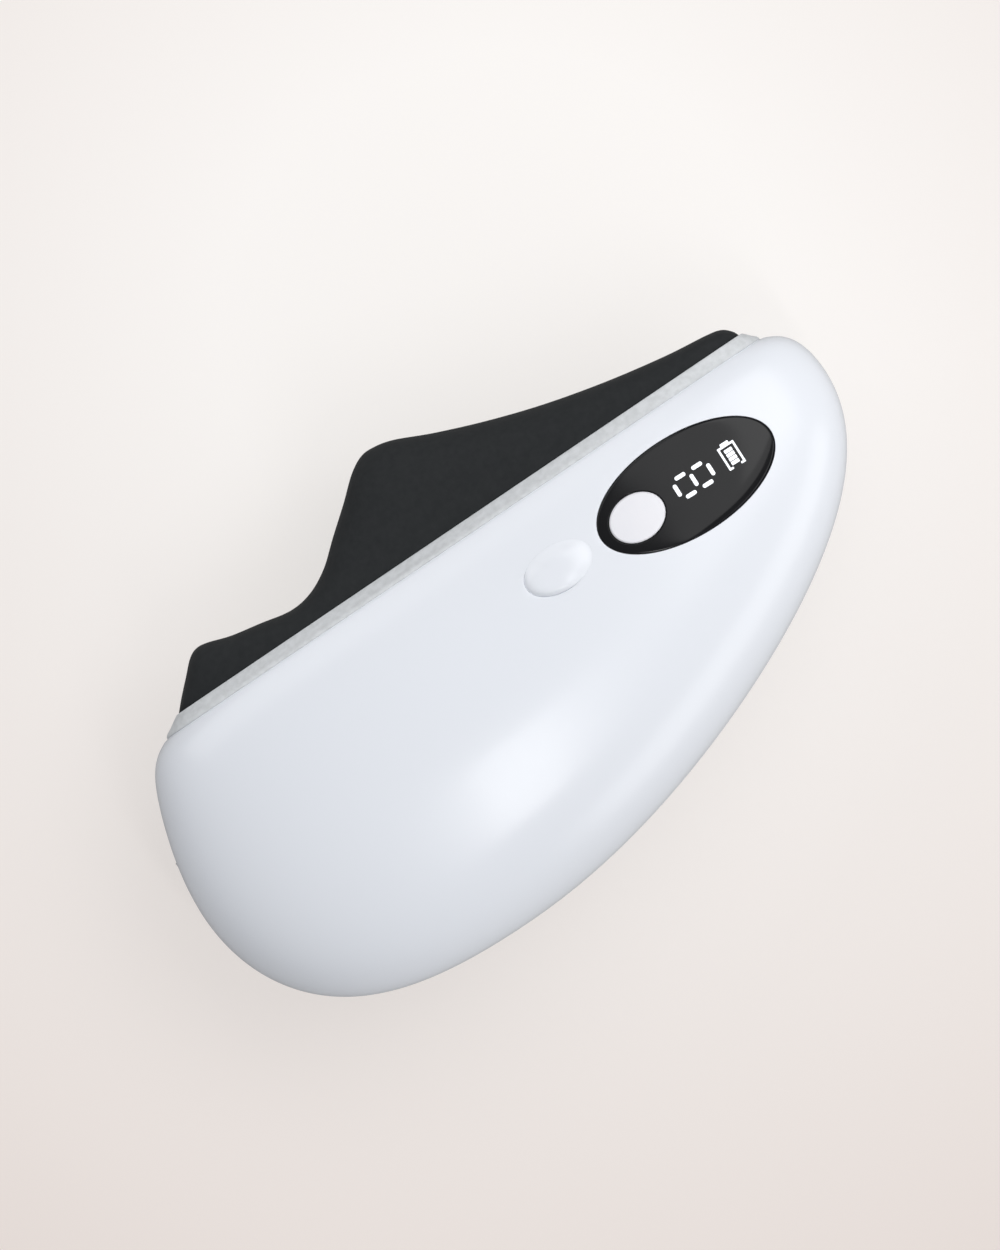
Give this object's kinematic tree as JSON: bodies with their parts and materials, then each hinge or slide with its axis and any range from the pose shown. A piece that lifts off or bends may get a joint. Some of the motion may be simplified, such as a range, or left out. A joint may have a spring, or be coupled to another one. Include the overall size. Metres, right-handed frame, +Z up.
{
  "type": "electric gua sha tool",
  "caption": "Handheld heated massage tool: D-shaped two-part shell, contoured stone blade on its straight edge, oval display panel with power key, raised mode key.",
  "frame": {"origin": "centre of the whole tool's outline at its lowest face, the flat land on its back", "axes": "tool lying on its back: +X along the straight edge from heel to nose, +Y from the curved edge towards the stone, +Z up through the display"},
  "size_m": [0.1296, 0.076, 0.0381],
  "materials": {
    "shell_white": "smooth gloss",
    "button_white": "smooth satin gloss",
    "stone_black": "honed matte",
    "collar_grey": "fine matte",
    "panel_black": "polished gloss",
    "light_white": "lit diffuser",
    "display_grey": "matte",
    "switch_black": "matte",
    "plunger_cream": "matte",
    "board_green": "solder mask",
    "chip_black": "matte",
    "film_amber": "smooth film",
    "pad_grey": "foam",
    "frame_grey": "moulded",
    "cell_blue": "shrink sleeve",
    "steel": "plated",
    "weight_metal": "sintered",
    "lead_red": "insulation",
    "lead_dark": "insulation",
    "lead_blue": "insulation",
    "lead_pale": "insulation"
  },
  "bodies": {
    "housing": {"front_shell": "shell_white", "rear_shell": "shell_white", "stone_plate": "stone_black", "stone_collar": "collar_grey", "heater_film": "film_amber", "heater_pad": "pad_grey", "heater_back_plate": "frame_grey", "plate_screws": "steel", "thermistor": "chip_black", "panel_lens": "panel_black", "light_guide": "light_white", "display_module": "display_grey", "power_switch": "switch_black", "mode_switch": "switch_black", "main_board": "board_green", "board_chips": "chip_black", "board_screws": "steel", "charge_board": "board_green", "charge_screws": "steel", "usb_socket": "steel", "battery_cell": "cell_blue", "cell_tabs": "steel", "battery_cradle": "frame_grey", "cradle_screws": "steel", "cell_pads": "pad_grey", "motor_can": "steel", "motor_clamp": "frame_grey", "motor_screws": "steel", "shell_screws": "steel", "cell_leads": "lead_red", "charge_leads": "lead_dark", "motor_leads": "lead_blue", "heater_leads": "lead_pale"},
    "power_key": {"power_button": "button_white", "power_plunger": "plunger_cream"},
    "mode_key": {"mode_button": "button_white", "mode_plunger": "plunger_cream"},
    "rotor": {"motor_shaft": "steel", "eccentric_weight": "weight_metal"}
  },
  "joints": [
    {"name": "power_press", "type": "slide", "parent": "housing", "child": "power_key", "axis": [0, 0, -1], "range_m": [0, 0.0004], "stiffness_N_per_m": 3000},
    {"name": "mode_press", "type": "slide", "parent": "housing", "child": "mode_key", "axis": [0, 0, -1], "range_m": [0, 0.0004], "stiffness_N_per_m": 3000},
    {"name": "motor_spin", "type": "hinge", "parent": "housing", "child": "rotor", "pos_m": [0.0425, -0.009, 0.017], "axis": [1, 0, 0], "continuous": true}
  ]
}
